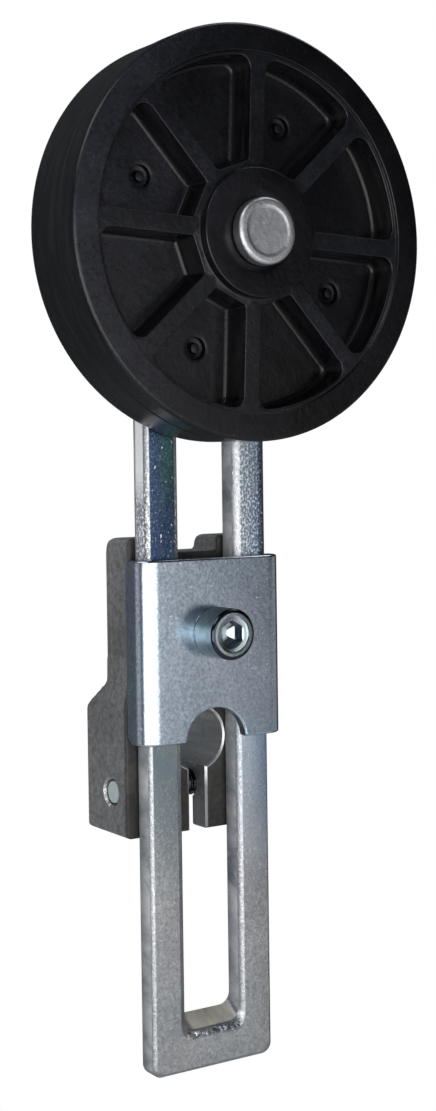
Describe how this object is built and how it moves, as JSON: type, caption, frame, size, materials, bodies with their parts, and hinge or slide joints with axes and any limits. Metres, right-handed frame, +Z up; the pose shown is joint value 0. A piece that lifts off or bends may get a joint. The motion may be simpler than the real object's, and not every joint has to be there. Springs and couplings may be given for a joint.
{
  "type": "adjustable roller lever",
  "caption": "Length-adjustable roller lever for a door or gate position switch: slotted steel arm, clamping hub with shaft bore, folded cover plate and spoked rubber roller.",
  "frame": {"origin": "on the axis of the hub's shaft bore, at the hub's back face, which meets the switch", "axes": "+Z up the lever from the bore to the roller, -Y to the roller's side (the front), +Y along the shaft into the switch, +X to the right seen from the front"},
  "size_m": [0.05, 0.0278, 0.1294],
  "materials": {
    "hub_casting": "matt as-cast grey zinc alloy",
    "lever_steel": "zinc plated, blue passivated, satin",
    "cover_steel": "zinc plated, blue passivated, satin",
    "screw_zinc": "bright zinc plated",
    "pin_steel": "satin, finely pitted face",
    "roller_rubber": "black, satin, slightly dusty",
    "bush_bronze": "sintered bronze, matt"
  },
  "bodies": {
    "hub": {"hub": "hub_casting"},
    "lever": {"slotted_lever": "lever_steel", "axle_pin": "pin_steel", "thrust_washer": "pin_steel"},
    "roller": {"roller": "roller_rubber", "roller_bush": "bush_bronze"},
    "cover": {"cover_plate": "cover_steel"},
    "cover_screw": {"cover_screw": "screw_zinc"},
    "clamp_screw": {"clamp_screw": "screw_zinc"}
  },
  "joints": [
    {"name": "lever_slide", "type": "slide", "parent": "hub", "child": "lever", "axis": [0, 0, 1], "range_m": [-0.014, 0.0305]},
    {"name": "roller_spin", "type": "hinge", "parent": "lever", "child": "roller", "pos_m": [0, -0.0198, 0.06275], "axis": [0, 1, 0], "continuous": true},
    {"name": "cover_lift", "type": "slide", "parent": "hub", "child": "cover", "axis": [0, -1, 0], "range_m": [0, 0.0007]},
    {"name": "cover_screw_turn", "type": "hinge", "parent": "cover", "child": "cover_screw", "pos_m": [0, -0.017, 0.01395], "axis": [0, -1, 0], "range_deg": [0, 360]},
    {"name": "clamp_screw_turn", "type": "hinge", "parent": "hub", "child": "clamp_screw", "pos_m": [0, -0.00615, -0.00645], "axis": [1, 0, 0], "range_deg": [0, 360]}
  ],
  "couplings": [
    {"joint": "cover_screw_turn", "follows": "cover_lift", "rad_per_m": 8976}
  ]
}
